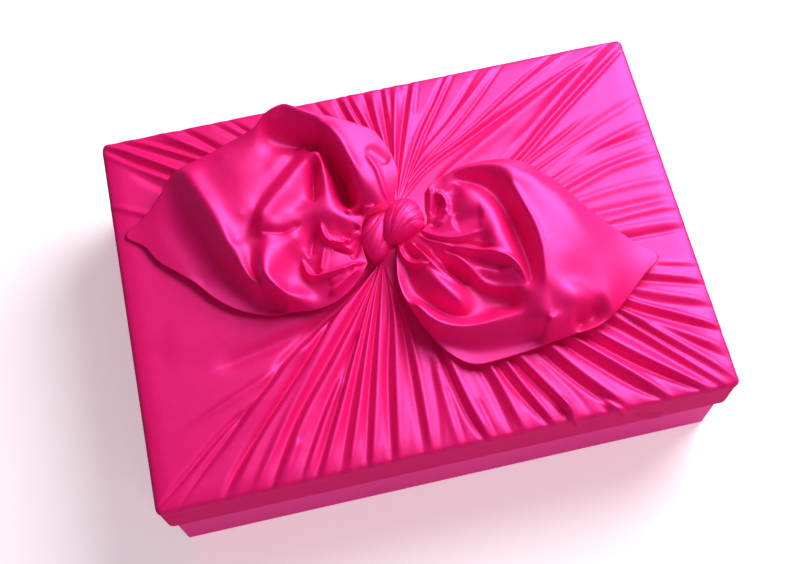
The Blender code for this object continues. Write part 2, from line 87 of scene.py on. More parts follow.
# Pleats of the wrap, each run from the knot outwards. Their flanks are given for 100 mm
# from the knot, and draw in nearer to it.
# These rows, those of the ears and the outlines in BUN and BAND weren't placed by hand. A
# program wrote them from picked points, and they were then thinned and rounded.
WRAP_PLEATS = (
    # front, from the left corner to the right
    Crease(-2.3, 5, 5, ((-17, 0), (-57, -29), (-91, -40), (-160, -55))),
    Crease(1.7, 4, 2.5, ((-79, -50), (-121, -69), (-183, -93))),
    Crease(-5.2, 3.5, 4, ((-17, 0), (-55, -27), (-94, -54), (-117, -76), (-142, -92))),
    Crease(-2.3, 1.8, 1.8, ((-131, -85), (-154, -101), (-180, -123), (-215, -151))),
    Crease(-1.7, 1.5, 1.5, ((-125, -81), (-147, -103), (-169, -124), (-198, -155))),
    Crease(4.7, 8, 3.5, ((-17, 0), (-44, -23), (-87, -53), (-118, -82), (-168, -129))),
    Crease(-3.2, 2.2, 2.2, ((-17, 0), (-53, -27), (-80, -57), (-138, -118), (-158, -145), (-193, -187))),
    Crease(2.6, 5, 2.5, ((-17, 0), (-50, -29), (-93, -74), (-123, -107), (-151, -145), (-181, -184))),
    Crease(2.5, 2.4, 3.5, ((-17, 0), (-43, -27), (-81, -69), (-113, -111), (-165, -190))),
    Crease(-2.7, 3, 3, ((-17, 0), (-37, -25), (-75, -72), (-104, -108), (-148, -188))),
    Crease(3.7, 5, 3, ((-17, 0), (-34, -25), (-63, -63), (-93, -101), (-144, -182))),
    Crease(1.5, 2.4, 2.4, ((-98, -114), (-120, -151))),
    Crease(-1.9, 2.5, 2.5, ((-43, -46), (-78, -96), (-117, -166))),
    Crease(1.7, 2.4, 2.4, ((-60, -76), (-81, -107), (-109, -157))),
    Crease(-3.8, 2, 2, ((-17, 0), (-35, -29), (-65, -87), (-96, -146), (-115, -182))),
    Crease(3.8, 3.5, 2.4, ((-17, 0), (-34, -32), (-61, -87), (-90, -146), (-106, -182))),
    Crease(-2.7, 2.2, 2.2, ((-17, 0), (-33, -33), (-59, -94), (-92, -184))),
    Crease(3.4, 3, 2.4, ((-17, 0), (-30, -31), (-48, -81), (-85, -183))),
    Crease(-3.2, 2.4, 2.4, ((-17, 0), (-28, -34), (-44, -83), (-70, -185))),
    Crease(3.4, 4, 2.4, ((-17, 0), (-25, -31), (-41, -91), (-66, -184))),
    Crease(-3.4, 2.6, 2.6, ((-17, 0), (-19, -33), (-32, -86), (-49, -183))),
    Crease(3.4, 5, 2.4, ((-17, 0), (-18, -41), (-28, -95), (-44, -182))),
    Crease(-2.5, 3, 3, ((-17, 0), (-14, -42), (-16, -90), (-23, -181))),
    Crease(2.7, 3.5, 2.5, ((-17, 0), (-11, -46), (-11, -91), (-16, -180))),
    Crease(-1.1, 2.5, 2.5, ((-1, -75), (-4, -114), (-11, -159))),
    Crease(1.5, 3, 3, ((2, -83), (5, -158))),
    Crease(-1.1, 2, 2, ((6, -99), (10, -153))),
    Crease(-3.8, 1.9, 1.9, ((5, -61), (10, -94), (15, -122), (24, -147), (32, -168))),
    Crease(3.4, 5, 2.4, ((9, -66), (15, -99), (22, -129), (34, -165))),
    Crease(-1.3, 1.3, 1.3, ((24, -112), (33, -152))),
    Crease(-2.3, 3, 3, ((27, -81), (35, -108), (44, -161))),
    Crease(2.7, 4, 2.4, ((34, -79), (43, -112), (54, -162))),
    Crease(-3.2, 2.4, 2.4, ((38, -79), (50, -110), (77, -161))),
    Crease(2.9, 2.5, 2.4, ((45, -78), (56, -109), (81, -162))),
    Crease(-3.4, 2.4, 2.4, ((47, -79), (63, -107), (96, -163))),
    Crease(3.8, 6, 2.4, ((52, -78), (69, -109), (100, -163))),
    Crease(-1.1, 2.5, 2.5, ((72, -96), (88, -123), (99, -150))),
    Crease(-3.6, 2.2, 2.2, ((68, -78), (84, -104), (102, -127), (137, -162))),
    Crease(3.8, 6, 2.4, ((76, -80), (95, -108), (115, -133), (139, -159))),
    Crease(-3.6, 2.6, 2.6, ((81, -77), (124, -123), (150, -144), (170, -159))),
    Crease(3.4, 3, 2.4, ((89, -77), (114, -102), (141, -130), (171, -163))),
    Crease(-3.6, 2.4, 2.4, ((96, -75), (117, -96), (147, -122), (203, -161))),
    Crease(3.4, 5, 2.4, ((105, -75), (133, -102), (163, -128), (204, -163))),
    Crease(-3.8, 5, 5, ((115, -70), (143, -96), (172, -126), (209, -164))),
    Crease(3.2, 2.4, 4, ((122, -70), (147, -94), (176, -126), (213, -165))),
    Crease(-1.7, 1.2, 1.2, ((132, -73), (159, -103), (177, -123))),
    Crease(2.5, 3, 2.4, ((131, -70), (163, -100), (217, -157))),
    Crease(-1.7, 2.5, 2.5, ((150, -85), (178, -108), (207, -131))),
    # right side, from the front corner to the back
    Crease(2.7, 3, 5, ((124, -65), (153, -86), (221, -130))),
    Crease(-2.7, 3.5, 3.5, ((125, -60), (155, -80), (221, -115))),
    Crease(2.7, 2.5, 2.4, ((129, -59), (160, -77), (221, -112))),
    Crease(-1.3, 3, 3, ((145, -65), (164, -74), (210, -89))),
    Crease(1.9, 3, 3, ((134, -53), (173, -70), (219, -89))),
    Crease(-2.5, 2.8, 2.8, ((142, -50), (182, -62), (217, -74))),
    Crease(1.3, 2.4, 3, ((157, -48), (212, -69))),
    Crease(-0.8, 1.5, 1.5, ((169, -46), (212, -57))),
    Crease(0.8, 2.4, 2.4, ((172, -44), (211, -54))),
    Crease(-1.9, 2, 2, ((147, -21), (211, -23))),
    Crease(1.5, 3, 3, ((142, -14), (175, -15), (221, -19))),
    Crease(1.7, 4, 2.4, ((138, -6), (186, -4), (223, -8))),
    Crease(-1.5, 3, 3, ((129, 3), (212, 4))),
    Crease(1.3, 3, 3, ((120, 13), (147, 17), (178, 19), (229, 17))),
    Crease(1.9, 3, 3, ((114, 19), (143, 29), (168, 36), (227, 42))),
    Crease(-1.3, 2, 2, ((111, 24), (154, 39), (220, 51))),
    Crease(1.9, 3, 3, ((107, 31), (141, 47), (167, 58), (230, 76))),
    Crease(-1.5, 2, 2, ((103, 32), (158, 52), (227, 60))),
    Crease(1.5, 4, 3, ((101, 39), (164, 74), (231, 99))),
    Crease(-1.9, 1.6, 1.6, ((90, 39), (128, 56), (174, 75))),
    Crease(-2.1, 1.6, 1.6, ((84, 44), (124, 65), (167, 88))),
    Crease(-3.2, 1.8, 1.8, ((73, 45), (100, 58), (139, 89), (202, 135), (234, 157))),
    Crease(1.3, 2.4, 2.4, ((73, 46), (97, 61), (139, 93), (201, 140), (230, 162))),
    Crease(-4.2, 4, 4, ((74, 49), (110, 78), (172, 128), (227, 160))),
    Crease(-2.6, 8, 8, ((59, 51), (103, 75), (122, 89))),
    # back, from the right corner to the left
    Crease(2.5, 4, 5, ((29, 48), (55, 65), (127, 105), (191, 141), (231, 165))),
    Crease(-2.7, 1.8, 1.8, ((1, 37), (28, 63), (68, 84), (129, 113), (190, 140), (237, 167))),
    Crease(-1.9, 1.6, 1.6, ((1, 37), (26, 68), (62, 87), (111, 119), (192, 168))),
    Crease(1.5, 2.4, 2.4, ((1, 37), (10, 51), (36, 70), (79, 94), (123, 121), (199, 161))),
    Crease(-1.7, 1.2, 1.2, ((1, 37), (21, 64), (60, 95), (89, 122), (137, 171))),
    Crease(-1.7, 2, 2, ((1, 37), (26, 77), (56, 104), (110, 165))),
    Crease(1.7, 2.5, 2.5, ((1, 37), (31, 78), (76, 117), (125, 167))),
    Crease(-2.5, 1.3, 1.3, ((1, 37), (33, 89), (57, 124), (92, 173))),
    Crease(1.7, 2.4, 2.4, ((1, 37), (30, 91), (51, 122), (87, 171))),
    Crease(-3.4, 2, 2, ((1, 37), (28, 91), (50, 123), (81, 171))),
    Crease(2.7, 2.4, 4, ((1, 37), (18, 85), (48, 168))),
    Crease(-3.4, 2, 2, ((1, 37), (12, 77), (26, 119), (45, 172))),
    Crease(-1.1, 1.2, 1.2, ((32, 112), (44, 149))),
    Crease(3.2, 2.4, 2.4, ((1, 37), (11, 86), (31, 172))),
    Crease(-1.3, 1, 1, ((1, 37), (15, 117), (21, 176))),
    Crease(-3.4, 2.2, 2.2, ((1, 37), (8, 96), (15, 175))),
    Crease(2.1, 2.4, 2.4, ((1, 37), (12, 103), (17, 177))),
    Crease(-2.9, 1.8, 1.8, ((2, 88), (-1, 126), (-2, 160))),
    Crease(2.3, 2.4, 2.4, ((1, 37), (5, 88), (4, 114), (7, 175))),
    Crease(-2.7, 1.6, 1.6, ((-3, 98), (-12, 129), (-19, 157))),
    Crease(1.9, 2.4, 2.4, ((-1, 98), (-9, 131), (-14, 157))),
    Crease(-2.9, 2.4, 2.4, ((-10, 104), (-18, 121), (-26, 156))),
    Crease(1.9, 2.4, 2.4, ((-7, 104), (-14, 122), (-18, 154))),
    Crease(-2.5, 1.8, 1.8, ((-24, 114), (-33, 127), (-43, 151))),
    Crease(-2.5, 2.4, 2.4, ((-39, 116), (-52, 130), (-69, 150))),
    Crease(-2.3, 2, 2, ((-54, 115), (-88, 151))),
    Crease(-2.1, 1.8, 1.8, ((-83, 117), (-114, 151))),
    Crease(-1.9, 2.5, 2.5, ((-92, 117), (-125, 148))),
    Crease(-3.4, 2.6, 2.6, ((-107, 109), (-129, 130), (-157, 156))),
    Crease(1.9, 2.4, 2.4, ((-109, 104), (-142, 130), (-173, 156))),
    Crease(-2.7, 3.5, 3.5, ((-113, 104), (-157, 132), (-192, 153))),
    Crease(2.3, 2.4, 2.5, ((-115, 102), (-164, 132), (-204, 151))),
    Crease(-2.9, 3.5, 3.5, ((-121, 99), (-165, 128), (-204, 149))),
    Crease(2.5, 2.4, 2.5, ((-129, 93), (-176, 126), (-211, 150))),
    Crease(-2.7, 3, 3, ((-134, 89), (-181, 123), (-213, 149))),
    Crease(2.1, 2.4, 2.5, ((-135, 88), (-181, 119), (-212, 144))),
    # left side, near the back corner
    Crease(-1.9, 4, 4, ((-142, 80), (-185, 115))),
    Crease(1.9, 2.4, 2.4, ((-166, 71), (-209, 94))),
)
PLEATS_FULL = 0.100  # from here outwards the pleats have their full width and height
RIM_FLAT = 0.014  # the pleats flatten over this much before the rim
KNOT_RISE = 0.0085  # the cloth is drawn up this much at the knot
KNOT_RISE_SPREAD = 0.0130  # and falls off again over about this
PLEAT_START = 0.0120  # the knot hides the cloth within this of its middle
TENT = 0.0030  # the cloth lies this much higher at the knot than at the rim
LOFT = 0.0030  # height between ridges and troughs, over the lowest the cloth can lie

# Single folds of the wrap, given on the cloth laid out flat, where a side's skirt
# lies beyond the rim.
WRAP_CREASES = (
    Crease(3.8, 2.4, 1.5, ((76, -120), (80, -131), (84, -144), (89, -154), (95, -164), (103, -173))),
    Crease(-1.2, 1.6, 1.6, ((73, -124), (77, -135), (81, -147), (87, -160), (95, -171))),
    Crease(4.0, 2.6, 1.6, ((102, -126), (110, -136), (119, -146), (129, -157), (142, -167), (158, -173))),
    Crease(-1.3, 1.8, 1.8, ((100, -131), (108, -141), (118, -152), (129, -163), (142, -172))),
    Crease(0.8, 1.6, 1.6, ((-128, -146), (-118, -156), (-106, -166))),
    Crease(0.7, 1.6, 1.6, ((-116, -146), (-108, -154), (-98, -162))),
    Crease(1.2, 12.0, 12.0, ((-60, -28), (-120, -30), (-190, -25))),
    Crease(-1.6, 7.0, 7.0, ((-62, -34), (-100, -44), (-150, -52))),
)

# ---------------------------------------------------------------- folds of the ears

# A fold is a line over the cloth, through points of x, y and height above the lid's
# top. The cloth is the smoothest sheet through all of them.
Fold = namedtuple("Fold", "name points")
RIGHT_HEM = (
    (22, 31, 31), (25, 35, 33), (30, 40, 33), (39, 42, 34), (48, 44, 37), (62, 44, 39),
    (77, 42, 41), (88, 39, 40), (96, 36, 37), (104, 30, 32), (114, 22, 28), (124, 10, 23),
    (137, -6, 18), (148, -18, 14.5), (160, -30, 11), (172, -42, 9), (158, -54, 11),
    (142, -68, 13), (128, -79, 15), (116, -84, 14), (97, -86, 12), (72, -89, 10.5),
    (48, -91, 10), (29, -91, 10), (17, -84, 10.5), (7, -72, 12), (-2, -56, 15),
    (-8, -40, 17), (-10, -24, 18), (-8, -8, 18), (-5, 4, 17),
)
RIGHT_ROOT = ((21, 32), (19, 23), (19, 15), (15, 10), (9, 8), (2, 7), (-4, 6))
RIGHT_FOLDS = (
    Fold("rolled rim", (
        (38, 40, 35), (47, 41, 38), (57, 41, 41), (68, 39, 43), (76, 34, 44.5), (80, 21, 45),
        (83, 4, 45.5), (86, -12, 45.5), (87, -28, 45), (86, -41, 44), (84, -52, 41.5),
        (83, -62, 38), (82, -72, 34.5), (80, -80, 31),
    )),
    Fold("rim face", (
        (83, 20, 44.5), (86, 3, 45), (90, -14, 45), (90, -29, 44.5), (88, -43, 43),
        (87, -54, 41), (86, -63, 37.5), (85, -72, 34),
    )),
    Fold("rim shoulder", (
        (90, 31, 42), (98, 20, 42.5), (102, 2, 43), (103, -16, 42.5), (102, -36, 40.5),
    )),
    Fold("far slope", (
        (112, 10, 37), (118, -8, 37), (122, -25, 34.5), (127, -40, 29), (135, -52, 22.5),
    )),
    Fold("valley", (
        (46, 38, 32.5), (56, 35, 31), (65, 28, 30), (72, 20, 29.5), (76, 9, 29), (80, -4, 28.5),
        (82, -28, 28.5), (81, -39, 28.5), (78, -48, 29.5),
    )),
    Fold("inner fold edge", (
        (42, 34, 33.5), (49, 30, 35), (56, 24, 36), (62, 15, 36), (66, 4, 36), (69, -20, 35),
        (72, -40, 33.5), (74, -50, 31.5),
    )),
    Fold("inner fold", (
        (46, 26, 37), (50, 18, 38), (55, 8, 38.5), (58, -4, 38.5), (58, -15, 38), (60, -24, 37),
    )),
    Fold("pleated ground", ((18, 3, 25), (24, -1, 28), (31, -6, 30), (41, -9, 31), (52, -12, 31))),
    Fold("low ground", ((20, -9, 23), (26, -14, 26), (32, -21, 28), (50, -33, 28), (60, -38, 29))),
    Fold("curl ground", ((22, 11, 24), (27, 16, 26.5), (32, 22, 29), (32, 29, 30.5))),
    Fold("hollow", ((25, -20, 20), (38, -40, 16), (46, -48, 15), (54, -55, 15), (62, -58, 17))),
    Fold("lobe", ((6, -11, 23), (12, -23, 26.5), (16, -35, 28.5), (21, -44, 27.5), (27, -52, 23))),
    Fold("outer trough", (
        (-2, -9, 16), (-3, -20, 14.5), (0, -34, 14), (7, -44, 14), (16, -52, 14.5),
        (30, -58, 15.5), (44, -61, 18),
    )),
    Fold("outer fold", (
        (-8, -10, 20), (-9, -20, 23), (-9, -32, 25), (-6, -43, 26), (5, -60, 26), (14, -65, 25),
        (24, -68, 24), (34, -69, 24), (54, -68, 26.5), (66, -69, 28),
    )),
    Fold("hollow wall", ((70, -54, 32), (73, -62, 34), (74, -70, 32.5), (76, -76, 29.5))),
    Fold("lower flap", ((8, -68, 15), (21, -75, 12), (37, -80, 11), (56, -82, 11), (72, -81, 12))),
    Fold("tuck edge", ((82, -80, 30.5), (88, -79, 28.5), (96, -77, 26.5), (104, -74, 25), (116, -70, 23))),
    Fold("below the tuck", (
        (76, -80, 17), (85, -80, 16), (94, -79, 15), (103, -76, 14.5), (111, -73, 15), (117, -72, 15.5),
    )),
    Fold("tuck ridge", (
        (100, -52, 37), (108, -57, 33), (116, -62, 28.5), (122, -68, 24.5), (126, -74, 20.5),
        (127, -79, 17),
    )),
)
RIGHT_CREASES = (
    # pleats that fan from the knot, and the pockets between them
    Crease(2.4, 2.4, 1.4, ((12, 12), (17, 4), (24, -2), (34, -6), (56, -6))),
    Crease(-2.6, 1.8, 1.8, ((12, 9), (18, 0), (28, -6), (43, -12), (60, -22))),
    Crease(4.0, 2.6, 1.6, ((9, 8), (20, -4), (32, -12), (57, -25), (70, -37), (74, -54))),
    Crease(-6.5, 4.2, 4.2, ((22, -8), (46, -24), (68, -36))),
    Crease(4.6, 3.2, 1.8, ((20, -7), (27, -14), (34, -22), (40, -32), (46, -40), (56, -46), (72, -52))),
    Crease(-3.0, 2.4, 2.4, ((16, -8), (24, -18), (40, -38))),
    Crease(-2.6, 5.0, 5.0, ((41, 35), (42, 26), (38, 18), (34, 12))),
    Crease(-3.6, 5.5, 5.5, ((34, 6), (46, 6), (57, 4))),
    # the curl beside the knot
    Crease(2.4, 1.9, 2.4, ((26, 38), (24, 26), (22, 18), (18, 11))),
    Crease(3.6, 2.6, 2.6, ((25, 30), (30, 30), (33, 26), (34, 20), (32, 15), (28, 11), (20, 8))),
    Crease(-3.0, 2.4, 2.4, ((32, 28), (28, 23), (24, 16))),
    Crease(-1.6, 2.2, 2.2, ((34, 15), (28, 12), (20, 10))),
    # the lobe and the loop in front of the knot
    Crease(3.0, 1.2, 2.2, ((4, 4), (9, -6), (16, -20), (26, -32), (32, -38))),
    Crease(5.0, 1.7, 1.2, ((-4, 5), (-4, -4), (0, -12), (6, -17), (14, -18))),
    Crease(-4.5, 1.8, 1.8, ((0, 5), (2, -2), (5, -8), (10, -12))),
    Crease(-3.5, 1.3, 1.3, ((6, 2), (12, -7), (20, -19), (24, -26))),
    # the tuck, and the crest of the outer fold
    Crease(3.0, 4.0, 1.8, ((80, -74), (82, -80), (88, -80), (96, -78), (104, -74), (118, -70))),
    Crease(1.6, 2.4, 2.4, ((-9, -10), (-9, -32), (-2, -52), (14, -65), (34, -69), (57, -68))),
)
LEFT_HEM = (
    (-4, 32, 26), (2, 41, 29), (6, 50, 32), (6, 60, 34), (4, 70, 35.5), (0, 79, 37.5),
    (-4, 86, 39), (-14, 92, 41.5), (-25, 98, 43.5), (-36, 103, 45), (-48, 110, 46),
    (-56, 114, 47), (-62, 117, 47), (-70, 116, 46), (-77, 114, 43), (-85, 109, 38),
    (-94, 107, 34), (-110, 104, 29), (-128, 100, 25), (-144, 97, 22), (-155, 94, 14),
    (-165, 82, 10), (-179, 71, 6), (-192, 62, 4), (-180, 50, 6), (-172, 36, 7),
    (-160, 24, 8), (-148, 12, 9), (-138, -1, 9), (-126, -12, 9), (-114, -19, 9),
    (-100, -24, 9), (-84, -26, 10), (-70, -28, 12), (-56, -26, 13), (-44, -20, 14),
    (-34, -11, 15), (-28, -4, 16),
)
LEFT_ROOT = ((-5, 32), (-12, 32), (-18, 30), (-23, 26), (-27, 19), (-29, 12), (-29, 4), (-28, -2))
LEFT_FOLDS = (
    Fold("flap ridge", (
        (-144, 94, 24), (-140, 88, 28), (-134, 74, 31), (-129, 61, 33), (-124, 46, 33),
        (-120, 31, 33), (-116, 17, 31), (-112, 6, 28), (-105, -4, 24), (-98, -13, 18),
        (-90, -21, 13),
    )),
    Fold("flap wall", (
        (-149, 83, 17), (-144, 65, 17), (-140, 50, 16), (-134, 34, 15), (-128, 19, 14),
        (-118, 4, 14), (-110, -8, 13),
    )),
    Fold("flap trough", (
        (-156, 76, 11), (-154, 58, 9.5), (-148, 40, 9), (-141, 22, 8.5), (-132, 6, 8),
        (-118, -8, 8), (-104, -18, 8.5),
    )),
    Fold("flap corner", ((-169, 66, 8), (-164, 46, 8.5), (-154, 26, 8.5), (-142, 10, 8))),
    Fold("plateau", (
        (-132, 90, 27.5), (-126, 74, 29), (-121, 60, 30.5), (-117, 44, 30.5), (-114, 28, 28.5),
    )),
    Fold("plateau middle", ((-111, 94, 29.5), (-105, 77, 30), (-104, 60, 30), (-106, 47, 29.5))),
    Fold("plateau right", (
        (-100, 50, 29), (-96, 60, 29), (-88, 70, 29), (-78, 78, 28.5), (-69, 88, 27.5),
    )),
    Fold("plateau top", ((-81, 105, 33), (-89, 94, 30.5), (-84, 82, 28.5))),
    Fold("lobe shade", (
        (-100, 35, 28), (-97, 47, 28.5), (-90, 56, 28.5), (-82, 65, 28), (-72, 75, 27),
        (-64, 82, 26), (-54, 92, 24),
    )),
    Fold("lobe edge", (
        (-96, 37, 35.5), (-94, 42, 37), (-88, 47, 38), (-80, 54, 38), (-71, 62, 37),
        (-62, 71, 36), (-55, 78, 35), (-48, 82, 34),
    )),
    Fold("lobe lower edge", (
        (-94, 32, 34.5), (-86, 31, 33), (-80, 32, 31.5), (-72, 34, 31), (-65, 36, 30.5),
        (-58, 36, 31), (-46, 32, 32), (-41, 29, 31), (-36, 26, 29), (-26, 22, 25),
    )),
    Fold("lobe face", ((-84, 38, 34.5), (-76, 46, 34.5), (-68, 54, 34), (-58, 66, 33))),
    Fold("lobe slope", ((-70, 42, 30.5), (-62, 51, 29.5), (-54, 63, 29.5))),
    Fold("lobe inside", ((-48, 70, 33), (-50, 60, 31), (-52, 50, 30))),
    Fold("lobe right", ((-44, 79, 35), (-43, 70, 34), (-42, 60, 33), (-42, 50, 31), (-40, 41, 29))),
    Fold("cavity", ((-39, 80, 17), (-37, 71, 14), (-34, 62, 12), (-32, 52, 11), (-30, 44, 13))),
    Fold("red slope", ((-78, 105, 28), (-70, 100, 23), (-61, 96, 20), (-52, 94, 19), (-44, 92, 19))),
    Fold("red wall", (
        (-68, 111, 38), (-59, 106, 35), (-50, 100, 32), (-42, 91, 28), (-38, 81, 25),
        (-34, 70, 21), (-30, 58, 17),
    )),
    Fold("band edge", (
        (-59, 114, 47), (-50, 108, 47), (-42, 101, 46), (-37, 90, 45), (-32, 77, 43),
        (-29, 65, 40), (-26, 54, 37), (-22, 34, 28),
    )),
    Fold("band", (
        (-40, 100, 46), (-30, 93, 46), (-25, 82, 46), (-22, 70, 45), (-18, 58, 42.5),
        (-14, 46, 39), (-10, 36, 34), (-7, 30, 28),
    )),
    Fold("wedge", ((-104, 26, 27), (-107, 16, 26), (-108, 8, 24), (-106, -2, 19.5), (-102, -11, 15))),
    Fold("lower lobe", (
        (-81, 27, 28.5), (-90, 24, 30.5), (-97, 15, 32.5), (-100, 5, 33), (-101, -4, 31),
        (-96, -13, 28), (-88, -20, 24), (-78, -24, 19),
    )),
    Fold("lower lobe edge", (
        (-98, 28, 28), (-102, 17, 27.5), (-105, 7, 25.5), (-104, -2, 22), (-99, -11, 18),
        (-91, -19, 14),
    )),
    Fold("lower lobe face", (
        (-72, 21, 27), (-84, 16, 28.5), (-90, 6, 29.5), (-91, -4, 27), (-85, -14, 22.5),
    )),
    Fold("big hollow", (
        (-68, 14, 21), (-76, 10, 19.5), (-80, 4, 18), (-80, -4, 16), (-74, -12, 15), (-67, -18, 15),
    )),
    Fold("V ground", (
        (-62, 4, 19), (-52, 4, 20), (-41, 6, 19), (-50, 14, 22), (-40, 16, 21), (-42, 24, 25),
    )),
    Fold("V shade", ((-60, 29, 24), (-64, 24, 21), (-68, 16, 20))),
    Fold("low ground", ((-55, -18, 18), (-46, -12, 19), (-36, -6, 18))),
)
LEFT_CREASES = (
    # the valley beside the lobe, and the shade under it
    Crease(-8.0, 3.4, 3.4, ((-46, 78), (-51, 68), (-54, 54), (-56, 42))),
    Crease(-2.5, 2.0, 2.0, ((-98, 32), (-90, 29), (-79, 28), (-66, 32))),
    # two V shaped tucks towards the knot, their strands and the gaps between them
    Crease(6.0, 2.2, 1.8, ((-72, 10), (-71, 0), (-68, -6), (-62, -8), (-52, -8), (-40, -6), (-28, -2))),
    Crease(5.0, 2.0, 1.6, ((-54, 32), (-54, 22), (-50, 14), (-42, 12), (-36, 15), (-26, 22))),
    Crease(3.5, 2.4, 2.4, ((-54, 14), (-58, 4), (-62, -6))),
    Crease(-4.0, 2.6, 2.6, ((-57, 30), (-62, 20), (-66, 7))),
    Crease(3.0, 1.4, 1.4, ((-50, 14), (-42, 10), (-36, 6))),
    Crease(-4.0, 1.8, 1.8, ((-50, 13), (-44, 9), (-36, 5))),
    Crease(-4.5, 2.4, 2.4, ((-40, 14), (-34, 18), (-28, 22))),
    Crease(-4.0, 2.4, 2.4, ((-39, 0), (-33, 8), (-28, 16))),
    # low folds along the front
    Crease(4.0, 1.7, 2.4, ((-60, -22), (-52, -18), (-42, -12), (-32, -6))),
    Crease(2.5, 2.0, 2.0, ((-58, -14), (-50, -12), (-41, -8))),
    # the strand that runs into the knot, and the hole under it
    Crease(4.0, 2.2, 2.2, ((-38, 32), (-30, 32), (-21, 31), (-13, 28))),
    Crease(-9.0, 2.6, 2.6, ((-32, 33), (-22, 32))),
    # the broad band, and the fold behind it
    Crease(-2.2, 4.5, 4.5, ((-12, 74), (-5, 67), (2, 59))),
    Crease(2.0, 2.2, 2.2, ((-14, 70), (-8, 56), (-6, 40), (-4, 31))),
    Crease(2.0, 3.0, 3.0, ((-78, 113), (-64, 108), (-51, 98), (-41, 88))),
    Crease(-2.0, 4.0, 4.0, ((-54, 108), (-44, 100), (-36, 84), (-30, 66), (-28, 48))),
)

# ---------------------------------------------------------------- smooth lines and sheets


def smooth_line(points, spacing):
    """Points at even steps along a smooth curve through every given point."""
    points = np.asarray(points, float)
    fine = []
    for i in range(len(points) - 1):
        before = points[max(i - 1, 0)]
        here, there = points[i], points[i + 1]
        after = points[min(i + 2, len(points) - 1)]
        t = np.linspace(0, 1, 12, endpoint=i == len(points) - 2)[:, None]
        fine.append(
            here * (1 + 2 * t) * (1 - t) ** 2
            + (there - before) / 2 * t * (1 - t) ** 2
            + there * t * t * (3 - 2 * t)
            - (after - here) / 2 * t * t * (1 - t)
        )
    fine = np.vstack(fine)
    walked = np.concatenate([[0], np.cumsum(np.linalg.norm(np.diff(fine, axis=0), axis=1))])
    steps = max(2, round(walked[-1] / spacing)) + 1
    at = np.linspace(0, walked[-1], steps)
    return np.stack([np.interp(at, walked, fine[:, k]) for k in range(fine.shape[1])], axis=1)


def nearest_on(line, x, y):
    """Distance of each point to a line in plan, its sign by side, and how far along the line it is."""
    best = np.full(x.shape, np.inf)
    side = np.zeros(x.shape)
    along = np.zeros(x.shape)
    for i in range(len(line) - 1):
        ax, ay = line[i, :2]
        bx, by = line[i + 1, :2] - line[i, :2]
        t = np.clip(((x - ax) * bx + (y - ay) * by) / (bx * bx + by * by), 0, 1)
        away = np.hypot(x - ax - t * bx, y - ay - t * by)
        closer = away < best
        best = np.where(closer, away, best)
        side = np.where(closer, np.sign(bx * (y - ay) - by * (x - ax)), side)
        along = np.where(closer, (i + t) / (len(line) - 1), along)
    return best, side, along


class Drape:
    """The smoothest sheet through folds of known height: a height for every point in plan."""

    SOFTNESS = 1.0 * MM  # a crease between two slopes is rounded over about this
    ROUNDNESS = 0.75  # 0.5 runs straight from fold to fold, nearer 1 is rounder
    SPACING = 2.0 * MM
    CROSSING = 1.5 * MM  # nearer than this to a fold that came before, a fold gives way
    LOOSENESS = 0.00003  # how little the sheet is held to the folds' exact heights

    def __init__(self, folds):
        held = np.empty((0, 3))
        for fold in folds:
            line = smooth_line(np.array(fold.points) * MM, self.SPACING)
            if len(held):
                apart = np.hypot(*(line[:, None, :2] - held[None, :, :2]).transpose(2, 0, 1))
                line = line[apart.min(axis=1) > self.CROSSING]
            held = np.vstack([held, line])
        self.held = held
        n = len(held)
        bend = self._reach(held[:, 0], held[:, 1])
        flat = np.column_stack([np.ones(n), held[:, :2]])
        system = np.zeros((n + 3, n + 3))
        system[:n, :n] = bend + np.eye(n) * self.LOOSENESS
        system[:n, n:] = flat
        system[n:, :n] = flat.T
        self.pull = np.linalg.solve(system, np.concatenate([held[:, 2], np.zeros(3)]))

    def _reach(self, x, y):
        away = np.hypot(x[:, None] - self.held[None, :, 0], y[:, None] - self.held[None, :, 1])
        return -((away**2 + self.SOFTNESS**2) ** self.ROUNDNESS)

    def height(self, x, y):
        flat_x, flat_y = x.ravel(), y.ravel()
        n = len(self.held)
        found = self.pull[n] + self.pull[n + 1] * flat_x + self.pull[n + 2] * flat_y
        for some in np.array_split(np.arange(len(flat_x)), 20):
            found[some] += self._reach(flat_x[some], flat_y[some]) @ self.pull[:n]
        return found.reshape(x.shape)


def higher_of(a, b, blend):
    """The larger of two heights, with the change from one to the other rounded over a blend."""
    apart = np.clip(0.5 + 0.5 * (a - b) / blend, 0, 1)
    return b * (1 - apart) + a * apart + blend * apart * (1 - apart)


# ---------------------------------------------------------------- the wrap's form


def rim_distance(x, y):
    """Distance from the knot to the rim on the ray through each point."""
    dx, dy = x - KNOT[0], y - KNOT[1]
    length = np.hypot(dx, dy)
    with np.errstate(divide="ignore", invalid="ignore"):
        reach_x = (np.copysign(WIDTH / 2, dx) - KNOT[0]) / dx
        reach_y = (np.copysign(DEPTH / 2, dy) - KNOT[1]) / dy
    return length * np.minimum(reach_x, reach_y)


